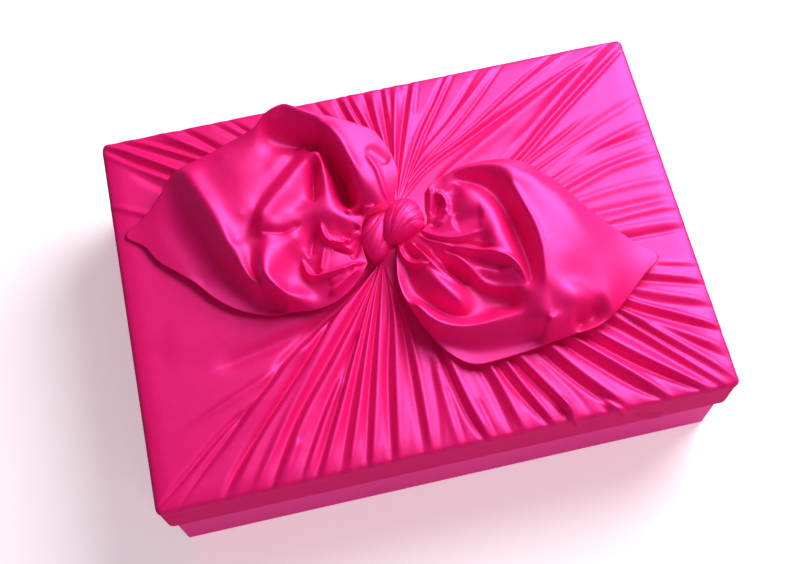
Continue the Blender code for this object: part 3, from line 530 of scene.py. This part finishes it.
def creases_at(creases, x, y, rise, fall, growth=None):
    """How far creases lift the cloth. Each rises and falls over a share of its run at its ends."""
    lift = np.zeros(x.shape)
    growth = np.ones(x.shape) if growth is None else growth
    for crease in creases:
        line = smooth_line(np.array(crease.points, float) * MM, 4 * MM)
        reach = 3 * max(crease.left, crease.right) * MM
        low, high = line.min(axis=0) - reach, line.max(axis=0) + reach
        near = (x > low[0]) & (x < high[0]) & (y > low[1]) & (y < high[1])
        away, side, along = nearest_on(line, x[near], y[near])
        fade = np.clip(np.minimum(along / rise, (1 - along) / fall), 0, 1)
        fade = fade * fade * (3 - 2 * fade)
        width = np.where(side > 0, crease.left, crease.right) * MM * growth[near] ** 0.8
        width = width * (0.45 + 0.55 * fade)
        lift[near] += crease.lift * MM * growth[near] ** 0.6 * fade * np.exp(-((away / width) ** 2))
    return lift


def wrap_height(x, y):
    """Height of the wrap above the lid's top: the knot's rise, the tent under it and the pleats."""
    radius = np.hypot(x - KNOT[0], y - KNOT[1])
    out = np.clip((radius - PLEAT_START) / (rim_distance(x, y) - PLEAT_START), 0, 1)
    rise = KNOT_RISE * np.exp(-((np.maximum(radius - PLEAT_START, 0) / KNOT_RISE_SPREAD) ** 2))
    growth = np.clip(radius / PLEATS_FULL, 0.08, 1)
    pleats = creases_at(WRAP_PLEATS, x, y, 0.07, 0.45, growth)
    to_rim = np.minimum(WIDTH / 2 - np.abs(x), DEPTH / 2 - np.abs(y))
    flat = np.clip(1 - to_rim / RIM_FLAT, 0, 1) ** 2
    loft = LOFT * (1 - 0.6 * flat)
    return rise + higher_of(TENT * (1 - out) ** 2 + loft + pleats * (1 - 0.65 * flat), 0 * x, 1.2 * MM)


CORNER_COLUMNS = 7  # columns of the wrap round each corner of the lid


def outline_feet(spacing):
    """Feet of the wrap's columns round the lid's rim: each one's place and outward direction."""
    feet = []
    corners = [
        (side.corner_x * (WIDTH / 2 - CORNER), side.corner_y * (DEPTH / 2 - CORNER), side.turn)
        for side in SIDES
    ]
    for k, (from_x, from_y, turn) in enumerate(corners):
        to_x, to_y, _ = corners[(k + 1) % len(corners)]
        for i in range(CORNER_COLUMNS):
            angle = math.radians(turn + 90 * i / CORNER_COLUMNS)
            out_x, out_y = math.cos(angle), math.sin(angle)
            feet.append((from_x + CORNER * out_x, from_y + CORNER * out_y, out_x, out_y))
        out_x = round(math.cos(math.radians(turn + 90)))
        out_y = round(math.sin(math.radians(turn + 90)))
        steps = round(math.hypot(to_x - from_x, to_y - from_y) / spacing)
        for i in range(steps):
            x = from_x + (to_x - from_x) * i / steps + out_x * CORNER
            y = from_y + (to_y - from_y) * i / steps + out_y * CORNER
            feet.append((x, y, out_x, out_y))
    return np.array(feet)


TOP_ROWS = 78  # rows of the wrap from the knot to the rim
RIM_ROWS = 6  # over the rim
SKIRT_ROWS = 16  # down the skirt
HEM_ROWS = 3  # round the lip


def wrap_rows():
    """Rows of the wrap from the knot over the rim and in under the lip: share of the way out,
    inset from the outer face, and drop below the top."""
    rows = []
    for i in range(TOP_ROWS):
        t = i / (TOP_ROWS - 1)
        rows.append((t * 0.97 + 0.03 * t * t, RIM_ROUND, 0.0))
    for i in range(1, RIM_ROWS + 1):
        angle = math.radians(90 * i / RIM_ROWS)
        rows.append((1, RIM_ROUND * (1 - math.sin(angle)), RIM_ROUND * (1 - math.cos(angle))))
    for i in range(1, SKIRT_ROWS + 1):
        t = i / SKIRT_ROWS
        rows.append((1, 0.0, RIM_ROUND + (SKIRT - HEM_ROUND - RIM_ROUND) * t))
    for i in range(1, HEM_ROWS + 1):
        angle = math.radians(90 * i / HEM_ROWS)
        rows.append((1, HEM_ROUND * (1 - math.cos(angle)), SKIRT - HEM_ROUND * (1 - math.sin(angle))))
    rows.append((1, HEM_IN - HEM_ROUND, SKIRT))
    rows.append((1, HEM_IN, SKIRT - HEM_ROUND))
    rows.append((1, HEM_IN, SKIRT - HEM_UP))
    return np.array(rows)


# ---------------------------------------------------------------- meshes


def grid_piece(name, places, closed=False):
    """A sheet of cloth from a grid of places, faces towards its front."""
    columns, rows = places.shape[:2]
    shape = bmesh.new()
    bmesh.ops.create_grid(shape, x_segments=columns - 1, y_segments=rows - 1, size=0.5)
    mesh = bpy.data.meshes.new(name)
    shape.to_mesh(mesh)
    shape.free()
    flat = np.zeros(len(mesh.vertices) * 3)
    mesh.vertices.foreach_get("co", flat)
    flat = flat.reshape(-1, 3)
    i = np.rint((flat[:, 0] + 0.5) * (columns - 1)).astype(int)
    j = np.rint((flat[:, 1] + 0.5) * (rows - 1)).astype(int)
    mesh.vertices.foreach_set("co", places[i, j].astype(np.float32).ravel())
    mesh.update()
    if closed:
        shape = bmesh.new()
        shape.from_mesh(mesh)
        bmesh.ops.remove_doubles(shape, verts=shape.verts, dist=0.002 * MM)
        shape.to_mesh(mesh)
        shape.free()
    piece = bpy.data.objects.new(name, mesh)
    bpy.context.scene.collection.objects.link(piece)
    mesh.shade_smooth()
    return piece


def face_up(piece):
    """Turns the sheet over if most of it looks down."""
    mesh = piece.data
    normals = np.zeros(len(mesh.polygons) * 3)
    areas = np.zeros(len(mesh.polygons))
    mesh.polygons.foreach_get("normal", normals)
    mesh.polygons.foreach_get("area", areas)
    if (normals[2::3] * areas).sum() < 0:
        mesh.flip_normals()


def thicken(piece, thickness):
    wall = piece.modifiers.new("thickness", "SOLIDIFY")
    wall.thickness = thickness
    wall.offset = -1


def make_wrap():
    """The cloth over the lid, pleated towards the knot and turned in under the lip."""
    feet = outline_feet(1.5 * MM)
    feet = np.vstack([feet, feet[:1]])
    rows = wrap_rows()
    out_way = feet[:, None, 2:4]
    rim = feet[:, None, 0:2] - out_way * rows[None, :, 1:2]
    way = rim - KNOT
    way = way / np.linalg.norm(way, axis=2, keepdims=True)
    start = KNOT + way * PLEAT_START * 0.3
    place = start + (rim - start) * rows[None, :, 0:1]
    drop = np.broadcast_to(rows[None, :, 2], place.shape[:2])
    height = wrap_height(place[..., 0], place[..., 1])
    over = np.clip(drop / RIM_ROUND, 0, 1)
    height = height * (1 - over * 0.55) * np.clip(1 - (drop - RIM_ROUND) / (9 * MM), 0, 1) ** 2
    laid = place + out_way * drop[..., None]
    lift = creases_at(WRAP_CREASES, laid[..., 0], laid[..., 1], 0.2, 0.2)
    inner = np.broadcast_to(rows[None, :, 1], drop.shape)
    lift = lift * ((drop <= RIM_ROUND) | (inner < HEM_ROUND))  # the hem's inner rows lie flat
    proud = (height + lift) * over
    upward = (height + lift) * (1 - over)
    spot = place + out_way * proud[..., None]
    places = np.concatenate([spot, (TOP + upward - drop)[..., None]], axis=2)
    wrap = grid_piece("wrap", places, closed=True)
    face_up(wrap)
    return wrap


def at_shares(line, count):
    """Points at even shares of a line's run."""
    pick = np.linspace(0, len(line) - 1, count)
    return np.stack([np.interp(pick, np.arange(len(line)), line[:, k]) for k in range(line.shape[1])], axis=1)


def make_ear(name, root, hem, folds, creases):
    """A free corner of the cloth, spread from the knot."""
    columns, rows = 320, 145
    drape = Drape((Fold("hem", hem), *folds))
    edge = at_shares(smooth_line(np.array(hem, float) * MM, 0.5 * MM), columns)[:, None, :2]
    start = at_shares(smooth_line(np.array(root, float) * MM, 0.25 * MM), columns)[:, None, :2]
    out = np.linspace(0, 1, rows)[None, :, None]
    plan = start * (1 - out) + edge * out
    height = drape.height(plan[..., 0], plan[..., 1])
    height += creases_at(creases, plan[..., 0], plan[..., 1], 0.2, 0.2)
    floor = wrap_height(plan[..., 0], plan[..., 1]) + 1.2 * MM
    height = higher_of(height, floor, 1 * MM)
    ear = grid_piece(name, np.concatenate([plan, (TOP + height)[..., None]], axis=2))
    face_up(ear)
    thicken(ear, EAR_CLOTH)
    return ear


# Lobes of the knot: outline in plan, then the lowest and highest it reaches, and where its
# gathers run together. Each is a bundle of cloth gathered into `gathers` strands.
Lobe = namedtuple("Lobe", "outline low high gather_at gathers")
BUN = Lobe(
    outline=(
        (-3, 34), (4, 37), (11, 36), (14, 33), (16, 28), (17, 18), (17, 13), (14, 10),
        (7, 8), (0, 6), (-6, 6), (-13, 4), (-14, 8), (-14, 14), (-12, 22), (-8, 28),
    ),
    low=5, high=33, gather_at=(-16, 1), gathers=13,
)
BAND = Lobe(
    outline=(
        (-2, 36), (-8, 34), (-16, 32), (-22, 29), (-27, 23), (-30, 16), (-29, 8),
        (-26, 0), (-22, -5), (-16, -2), (-11, 4), (-6, 14), (-2, 27),
    ),
    low=2, high=26, gather_at=(-3, 34), gathers=9,
)


LOBE_COLUMNS = 240
LOBE_ROWS = 120
OUTLINE_BLEND = 0.12  # radians over which a lobe's outline is rounded
GATHER_DEPTH = 0.8 * MM
GATHER_START = 16 * MM  # the gathers have their full depth from here on


def make_lobe(name, lobe):
    """A rounded bundle of the knot, with fine gathers fanning from one point."""
    shape = bmesh.new()
    bmesh.ops.create_uvsphere(shape, u_segments=LOBE_COLUMNS, v_segments=LOBE_ROWS, radius=1)
    mesh = bpy.data.meshes.new(name)
    shape.to_mesh(mesh)
    shape.free()
    flat = np.zeros(len(mesh.vertices) * 3)
    mesh.vertices.foreach_get("co", flat)
    ball = flat.reshape(-1, 3)
    outline = np.array(lobe.outline, float) * MM
    centre = outline.mean(axis=0)
    spokes = outline - centre
    bearings = np.arctan2(spokes[:, 1], spokes[:, 0])
    turn = np.arctan2(ball[:, 1], ball[:, 0])
    reach = np.interp(turn, bearings, np.hypot(spokes[:, 0], spokes[:, 1]), period=TURN)
    order = np.argsort(turn)
    for _ in range(3):
        nearby = [
            np.interp(turn + step, turn[order], reach[order], period=TURN)
            for step in (-OUTLINE_BLEND, 0, OUTLINE_BLEND)
        ]
        reach = sum(nearby) / 3
    middle, half = (lobe.low + lobe.high) / 2 * MM, (lobe.high - lobe.low) / 2 * MM
    places = np.column_stack([ball[:, :2] * reach[:, None] + centre, TOP + middle + ball[:, 2] * half])
    gather = places[:, :2] - np.array(lobe.gather_at) * MM
    fan = np.arctan2(gather[:, 1], gather[:, 0])
    away = np.hypot(gather[:, 0], gather[:, 1])
    sway = 0.5 * np.sin(away / (5 * MM)) + 0.8 * np.sin(fan * 3.7) + 0.5 * np.sin(fan * 7.9 + 1)
    strand = np.abs(np.sin(fan * lobe.gathers + sway)) ** 0.7
    strand += 0.3 * np.abs(np.sin(fan * lobe.gathers * 2.3))
    depth = GATHER_DEPTH * np.clip(away / GATHER_START, 0.1, 1)
    places += ball * ((strand - 0.6) * depth)[:, None]
    mesh.vertices.foreach_set("co", places.astype(np.float32).ravel())
    mesh.update()
    piece = bpy.data.objects.new(name, mesh)
    bpy.context.scene.collection.objects.link(piece)
    mesh.shade_smooth()
    return piece


# ---------------------------------------------------------------- materials


class Value:
    """A number or colour that a material works out at each point. Sums on it add Math nodes."""

    def __init__(self, finish, socket):
        self.finish = finish
        self.socket = socket

    def _math(self, operation, first, second):
        node = self.finish.node("ShaderNodeMath", {"operation": operation}, {0: first, 1: second})
        return Value(self.finish, node.outputs[0])

    def __add__(self, other):
        return self._math("ADD", self, other)

    __radd__ = __add__

    def __sub__(self, other):
        return self._math("SUBTRACT", self, other)

    def __rsub__(self, other):
        return self._math("SUBTRACT", other, self)

    def __mul__(self, other):
        return self._math("MULTIPLY", self, other)

    __rmul__ = __mul__

    def sine(self):
        return self._math("SINE", self, 0)


class Finish:
    """A material built node by node round one Principled shader."""

    def __init__(self, name):
        self.material = bpy.data.materials.new(name)
        self.material.use_nodes = True
        self.tree = self.material.node_tree
        self.shader = self.tree.nodes["Principled BSDF"]

    def node(self, kind, settings=None, values=None):
        """Adds a node, gives it its settings, then the values or links of its sockets."""
        node = self.tree.nodes.new(kind)
        for name, setting in (settings or {}).items():
            setattr(node, name, setting)
        for name, value in (values or {}).items():
            self.give(node.inputs[name], value)
        return node

    def give(self, socket, value):
        if isinstance(value, Value):
            self.tree.links.new(value.socket, socket)
        else:
            socket.default_value = value

    def out(self, node, name=0):
        return Value(self, node.outputs[name])

    def set(self, **values):
        for name, value in values.items():
            self.give(self.shader.inputs[name.replace("_", " ")], value)


def satin():
    """Hot pink stretch cloth with a soft satin face and a fine weave."""
    finish = Finish("pink_satin")
    place = finish.out(finish.node("ShaderNodeTexCoord"), "Object")
    tone = finish.node("ShaderNodeTexNoise", {}, {"Vector": place, "Scale": 9.0, "Detail": 3.0})
    colour = finish.node(
        "ShaderNodeMix",
        {"data_type": "RGBA"},
        {0: finish.out(tone, "Fac"), 6: (0.78, 0.0004, 0.112, 1), 7: (0.84, 0.0008, 0.130, 1)},
    )
    finish.set(Base_Color=finish.out(colour, 2), IOR=1.8, Specular_IOR_Level=1.0)
    finish.set(Specular_Tint=(1.0, 0.20, 0.9, 1))
    squash = finish.node("ShaderNodeVectorMath", {"operation": "MULTIPLY"}, {0: place, 1: (90, 420, 420)})
    streaks = finish.node(
        "ShaderNodeTexNoise", {}, {"Vector": finish.out(squash), "Scale": 1.0, "Detail": 2.0}
    )
    finish.set(Roughness=finish.out(streaks, "Fac") * 0.1 + 0.45)
    split = finish.node("ShaderNodeSeparateXYZ", {}, {0: place})
    x, y, z = (finish.out(split, k) for k in range(3))
    thread = TURN / 0.0006
    warp = ((x + y * 0.3 + z * 0.6) * thread).sine()
    weft = ((y - x * 0.3 + z * 0.6) * thread).sine()
    creasing = finish.node("ShaderNodeTexNoise", {}, {"Vector": place, "Scale": 70.0, "Detail": 2.0})
    slack = finish.node(
        "ShaderNodeBump", {}, {"Strength": 0.2, "Distance": 0.0010, "Height": finish.out(creasing, "Fac")}
    )
    weave = finish.node(
        "ShaderNodeBump",
        {},
        {
            "Strength": 0.2,
            "Distance": 0.00008,
            "Height": warp * weft + finish.out(streaks, "Fac"),
            "Normal": finish.out(slack, "Normal"),
        },
    )
    finish.set(Normal=finish.out(weave, "Normal"))
    return finish.material


def covered_board():
    """Matt paper of the cloth's colour, glued over board."""
    finish = Finish("pink_paper")
    place = finish.out(finish.node("ShaderNodeTexCoord"), "Object")
    tone = finish.node("ShaderNodeTexNoise", {}, {"Vector": place, "Scale": 14.0, "Detail": 4.0})
    colour = finish.node(
        "ShaderNodeMix",
        {"data_type": "RGBA"},
        {0: finish.out(tone, "Fac"), 6: (0.78, 0.02, 0.26, 1), 7: (0.86, 0.03, 0.31, 1)},
    )
    finish.set(Base_Color=finish.out(colour, 2), Roughness=0.6)
    grain = finish.node("ShaderNodeTexNoise", {}, {"Vector": place, "Scale": 600.0, "Detail": 3.0})
    rough = finish.node(
        "ShaderNodeBump", {}, {"Strength": 0.15, "Distance": 0.0001, "Height": finish.out(grain, "Fac")}
    )
    finish.set(Normal=finish.out(rough, "Normal"))
    return finish.material


# ---------------------------------------------------------------- stage, light and camera


def make_floor():
    shape = bmesh.new()
    bmesh.ops.create_grid(shape, x_segments=1, y_segments=1, size=3)
    mesh = bpy.data.meshes.new("floor")
    shape.to_mesh(mesh)
    shape.free()
    floor = bpy.data.objects.new("floor", mesh)
    bpy.context.scene.collection.objects.link(floor)
    finish = Finish("pale_floor")
    finish.set(Base_Color=(0.9, 0.9, 0.9, 1), Roughness=0.9)
    finish.set(Emission_Color=(1.0, 0.97, 0.98, 1), Emission_Strength=0.35)
    mesh.materials.append(finish.material)
    floor.visible_glossy = False


def aim(thing, place, target, roll=0.0):
    """Puts a lamp or camera in place, looking at a target."""
    way = Vector(target) - Vector(place)
    turn = way.to_track_quat("-Z", "Y").to_matrix() @ Matrix.Rotation(math.radians(roll), 3, "Z")
    thing.matrix_world = Matrix.Translation(place) @ turn.to_4x4()


def make_lamp(name, place, size, power, colour):
    lamp = bpy.data.lights.new(name, "AREA")
    lamp.shape = "DISK"
    lamp.size = size
    lamp.energy = power
    lamp.color = colour
    thing = bpy.data.objects.new(name, lamp)
    bpy.context.scene.collection.objects.link(thing)
    aim(thing, place, (0, 0, TOP))
    return thing


def make_light():
    make_lamp("key", (0.60, 0.44, 0.80), 0.9, 17.5, (1.0, 0.97, 1.0))
    fill = make_lamp("fill", (0.35, -1.3, 0.75), 1.2, 5.5, (1.0, 0.85, 0.92))
    fill.visible_glossy = False
    world = bpy.data.worlds.new("room")
    world.use_nodes = True
    world.node_tree.nodes["Background"].inputs["Color"].default_value = (1.0, 0.7, 0.85, 1)
    world.node_tree.nodes["Background"].inputs["Strength"].default_value = 0.26
    world.cycles_visibility.glossy = False
    bpy.context.scene.world = world


def make_camera():
    lens = bpy.data.cameras.new("camera")
    lens.lens = 55.57
    lens.sensor_width = 36
    lens.clip_start = 0.01
    camera = bpy.data.objects.new("camera", lens)
    bpy.context.scene.collection.objects.link(camera)
    aim(camera, (-0.0651, -0.3508, 0.9007), (-0.0080, -0.0161, 0.0990), roll=-3.23)
    bpy.context.scene.camera = camera
    bpy.context.scene.view_settings.view_transform = "Standard"


# ---------------------------------------------------------------- the whole


def main():
    cloth = satin()
    board = covered_board()
    for name in ("base", "lid"):
        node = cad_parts[name]
        node.data.materials.clear()
        node.data.materials.append(board)
    wrap = make_wrap()
    ears = [
        make_ear("ear_right", RIGHT_ROOT, RIGHT_HEM, RIGHT_FOLDS, RIGHT_CREASES),
        make_ear("ear_left", LEFT_ROOT, LEFT_HEM, LEFT_FOLDS, LEFT_CREASES),
    ]
    knot = [make_lobe("knot_bun", BUN), make_lobe("knot_band", BAND)]
    for piece in [wrap, *ears, *knot]:
        piece.data.materials.append(cloth)
        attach(piece, "lid")
        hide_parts("furoshiki")
    make_floor()
    make_light()
    make_camera()


main()
